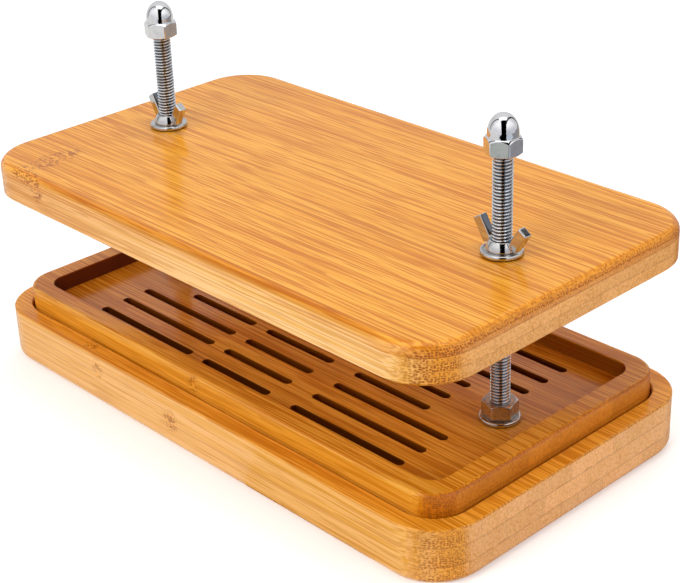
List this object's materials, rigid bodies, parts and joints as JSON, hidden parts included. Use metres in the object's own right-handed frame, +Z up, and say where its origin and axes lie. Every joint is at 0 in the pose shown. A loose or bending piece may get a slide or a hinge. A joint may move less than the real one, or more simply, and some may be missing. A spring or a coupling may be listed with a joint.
{
  "type": "tofu press",
  "caption": "Bamboo tofu press: slotted strainer tray in a drip tray, with a board driven down two upright threaded bolts by wing nuts.",
  "frame": {"origin": "centre of the drip tray's flat underside", "axes": "+Z up along the bolts, X along the trays' long side, -Y the long side that faces the user"},
  "size_m": [0.2092, 0.1171, 0.1167],
  "materials": {
    "bamboo_base": "oiled and lacquered bamboo, satin",
    "bamboo_strainer": "oiled and lacquered bamboo, satin",
    "bamboo_board": "oiled and lacquered bamboo, satin",
    "thread_steel": "bright plated steel thread",
    "plated_steel": "bright plated steel",
    "dome_steel": "polished plated steel"
  },
  "bodies": {
    "base": {"base_tray": "bamboo_base"},
    "strainer": {"strainer_tray": "bamboo_strainer", "bolt_left": "thread_steel", "bolt_washer_left": "plated_steel", "floor_washer_left": "plated_steel", "hex_nut_left": "plated_steel", "cap_nut_left": "dome_steel", "bolt_right": "thread_steel", "bolt_washer_right": "plated_steel", "floor_washer_right": "plated_steel", "hex_nut_right": "plated_steel", "cap_nut_right": "dome_steel"},
    "press": {"press_board": "bamboo_board", "press_washer_left": "plated_steel", "press_washer_right": "plated_steel"},
    "wing_left": {"wing_nut_left": "plated_steel"},
    "wing_right": {"wing_nut_right": "plated_steel"}
  },
  "joints": [
    {"name": "strainer_lift", "type": "slide", "parent": "base", "child": "strainer", "axis": [0, 0, 1], "range_m": [0, 0.05]},
    {"name": "board_travel", "type": "slide", "parent": "strainer", "child": "press", "axis": [0, 0, 1], "range_m": [-0.035, 0.021]},
    {"name": "wing_nut_left_turn", "type": "hinge", "parent": "press", "child": "wing_left", "pos_m": [-0.075, 0.0014, 0.0747], "axis": [0, 0, 1], "range_deg": [-12601, 7561]},
    {"name": "wing_nut_right_turn", "type": "hinge", "parent": "press", "child": "wing_right", "pos_m": [0.075, 0.0014, 0.0747], "axis": [0, 0, 1], "range_deg": [-12601, 7561]}
  ],
  "couplings": [
    {"joint": "wing_nut_left_turn", "follows": "board_travel", "rad_per_m": 6283.2},
    {"joint": "wing_nut_right_turn", "follows": "board_travel", "rad_per_m": 6283.2}
  ]
}
